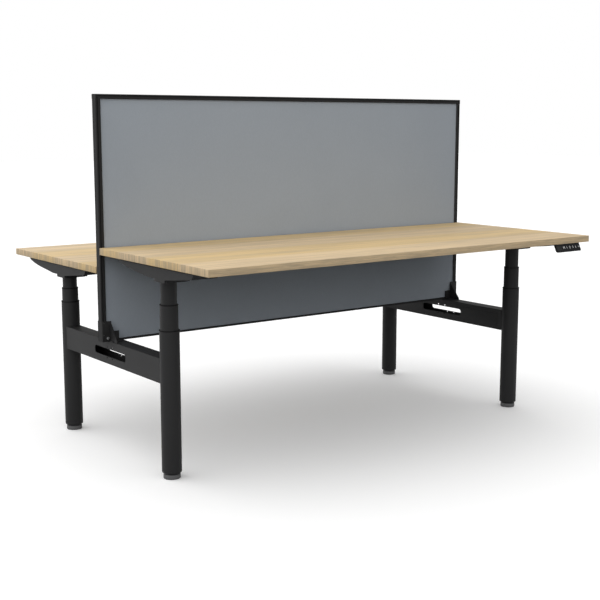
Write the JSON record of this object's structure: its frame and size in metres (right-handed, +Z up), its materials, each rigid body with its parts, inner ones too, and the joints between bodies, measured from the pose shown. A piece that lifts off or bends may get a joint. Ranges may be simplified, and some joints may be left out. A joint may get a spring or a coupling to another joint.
{
  "type": "benching desk for two",
  "caption": "Back-to-back height-adjustable desk: two oak worktops on telescopic columns, joined by slotted beams, with a framed screen between.",
  "frame": {"origin": "on the floor at the middle of the desk", "axes": "+X along the worktops to the end with the handsets, +Y from the near user to the far user, +Z up"},
  "size_m": [1.8, 1.5556, 1.3225],
  "materials": {
    "oak": "matt oak with lengthwise grain",
    "powder_coat": "satin black powder coat",
    "screen_frame": "satin black",
    "screen_cloth": "smooth grey cloth",
    "foot_plastic": "matt dark grey",
    "drive_steel": "plain steel",
    "box_plastic": "matt black",
    "handset_plastic": "matt black",
    "key_plastic": "matt dark grey"
  },
  "bodies": {
    "frame": {"left_beam": "powder_coat", "left_beam_cover": "powder_coat", "screen_left_stile": "screen_frame", "right_beam": "powder_coat", "right_beam_cover": "powder_coat", "screen_right_stile": "screen_frame", "screen_top_rail": "screen_frame", "screen_bottom_rail": "screen_frame", "screen_panel": "screen_cloth", "near_left_outer_tube": "powder_coat", "near_left_bracket": "powder_coat", "near_right_outer_tube": "powder_coat", "near_right_bracket": "powder_coat", "far_left_outer_tube": "powder_coat", "far_left_bracket": "powder_coat", "far_right_outer_tube": "powder_coat", "far_right_bracket": "powder_coat"},
    "near_left_foot": {"near_left_foot": "foot_plastic"},
    "near_right_foot": {"near_right_foot": "foot_plastic"},
    "near_middle_tubes": {"near_left_middle_tube": "powder_coat", "near_right_middle_tube": "powder_coat"},
    "near_desk": {"near_left_inner_tube": "powder_coat", "near_left_lift_drive": "drive_steel", "near_left_arm": "powder_coat", "near_right_inner_tube": "powder_coat", "near_right_lift_drive": "drive_steel", "near_right_arm": "powder_coat", "near_top": "oak", "near_crossbar": "powder_coat", "near_control_box": "box_plastic", "near_handset": "handset_plastic"},
    "near_key_memory": {"near_key_memory": "key_plastic"},
    "near_key_1": {"near_key_1": "key_plastic"},
    "near_key_2": {"near_key_2": "key_plastic"},
    "near_key_3": {"near_key_3": "key_plastic"},
    "near_key_up": {"near_key_up": "key_plastic"},
    "near_key_down": {"near_key_down": "key_plastic"},
    "far_left_foot": {"far_left_foot": "foot_plastic"},
    "far_right_foot": {"far_right_foot": "foot_plastic"},
    "far_middle_tubes": {"far_left_middle_tube": "powder_coat", "far_right_middle_tube": "powder_coat"},
    "far_desk": {"far_left_inner_tube": "powder_coat", "far_left_lift_drive": "drive_steel", "far_left_arm": "powder_coat", "far_right_inner_tube": "powder_coat", "far_right_lift_drive": "drive_steel", "far_right_arm": "powder_coat", "far_top": "oak", "far_crossbar": "powder_coat", "far_control_box": "box_plastic", "far_handset": "handset_plastic"},
    "far_key_memory": {"far_key_memory": "key_plastic"},
    "far_key_1": {"far_key_1": "key_plastic"},
    "far_key_2": {"far_key_2": "key_plastic"},
    "far_key_3": {"far_key_3": "key_plastic"},
    "far_key_up": {"far_key_up": "key_plastic"},
    "far_key_down": {"far_key_down": "key_plastic"}
  },
  "joints": [
    {"name": "near_lift", "type": "slide", "parent": "frame", "child": "near_desk", "axis": [0, 0, 1], "range_m": [-0.147, 0.503]},
    {"name": "near_middle_slide", "type": "slide", "parent": "frame", "child": "near_middle_tubes", "axis": [0, 0, 1], "range_m": [-0.0735, 0.2515]},
    {"name": "near_press_memory", "type": "slide", "parent": "near_desk", "child": "near_key_memory", "axis": [0, 0.8974, -0.4411], "range_m": [0, 0.0008], "stiffness_N_per_m": 1500},
    {"name": "near_press_1", "type": "slide", "parent": "near_desk", "child": "near_key_1", "axis": [0, 0.8974, -0.4411], "range_m": [0, 0.0008], "stiffness_N_per_m": 1500},
    {"name": "near_press_2", "type": "slide", "parent": "near_desk", "child": "near_key_2", "axis": [0, 0.8974, -0.4411], "range_m": [0, 0.0008], "stiffness_N_per_m": 1500},
    {"name": "near_press_3", "type": "slide", "parent": "near_desk", "child": "near_key_3", "axis": [0, 0.8974, -0.4411], "range_m": [0, 0.0008], "stiffness_N_per_m": 1500},
    {"name": "near_press_up", "type": "slide", "parent": "near_desk", "child": "near_key_up", "axis": [0, 0.8974, -0.4411], "range_m": [0, 0.0008], "stiffness_N_per_m": 1500},
    {"name": "near_press_down", "type": "slide", "parent": "near_desk", "child": "near_key_down", "axis": [0, 0.8974, -0.4411], "range_m": [0, 0.0008], "stiffness_N_per_m": 1500},
    {"name": "far_lift", "type": "slide", "parent": "frame", "child": "far_desk", "axis": [0, 0, 1], "range_m": [-0.076, 0.574]},
    {"name": "far_middle_slide", "type": "slide", "parent": "frame", "child": "far_middle_tubes", "axis": [0, 0, 1], "range_m": [-0.038, 0.287]},
    {"name": "far_press_memory", "type": "slide", "parent": "far_desk", "child": "far_key_memory", "axis": [0, -0.8974, -0.4411], "range_m": [0, 0.0008], "stiffness_N_per_m": 1500},
    {"name": "far_press_1", "type": "slide", "parent": "far_desk", "child": "far_key_1", "axis": [0, -0.8974, -0.4411], "range_m": [0, 0.0008], "stiffness_N_per_m": 1500},
    {"name": "far_press_2", "type": "slide", "parent": "far_desk", "child": "far_key_2", "axis": [0, -0.8974, -0.4411], "range_m": [0, 0.0008], "stiffness_N_per_m": 1500},
    {"name": "far_press_3", "type": "slide", "parent": "far_desk", "child": "far_key_3", "axis": [0, -0.8974, -0.4411], "range_m": [0, 0.0008], "stiffness_N_per_m": 1500},
    {"name": "far_press_up", "type": "slide", "parent": "far_desk", "child": "far_key_up", "axis": [0, -0.8974, -0.4411], "range_m": [0, 0.0008], "stiffness_N_per_m": 1500},
    {"name": "far_press_down", "type": "slide", "parent": "far_desk", "child": "far_key_down", "axis": [0, -0.8974, -0.4411], "range_m": [0, 0.0008], "stiffness_N_per_m": 1500},
    {"name": "near_left_foot_turn", "type": "hinge", "parent": "frame", "child": "near_left_foot", "pos_m": [-0.839, -0.4094, 0.01], "axis": [0, 0, 1], "continuous": true},
    {"name": "near_right_foot_turn", "type": "hinge", "parent": "frame", "child": "near_right_foot", "pos_m": [0.839, -0.4094, 0.01], "axis": [0, 0, 1], "continuous": true},
    {"name": "far_left_foot_turn", "type": "hinge", "parent": "frame", "child": "far_left_foot", "pos_m": [-0.839, 0.3786, 0.01], "axis": [0, 0, 1], "continuous": true},
    {"name": "far_right_foot_turn", "type": "hinge", "parent": "frame", "child": "far_right_foot", "pos_m": [0.839, 0.3786, 0.01], "axis": [0, 0, 1], "continuous": true}
  ],
  "couplings": [
    {"joint": "near_middle_slide", "follows": "near_lift", "ratio": 0.5},
    {"joint": "far_middle_slide", "follows": "far_lift", "ratio": 0.5}
  ]
}
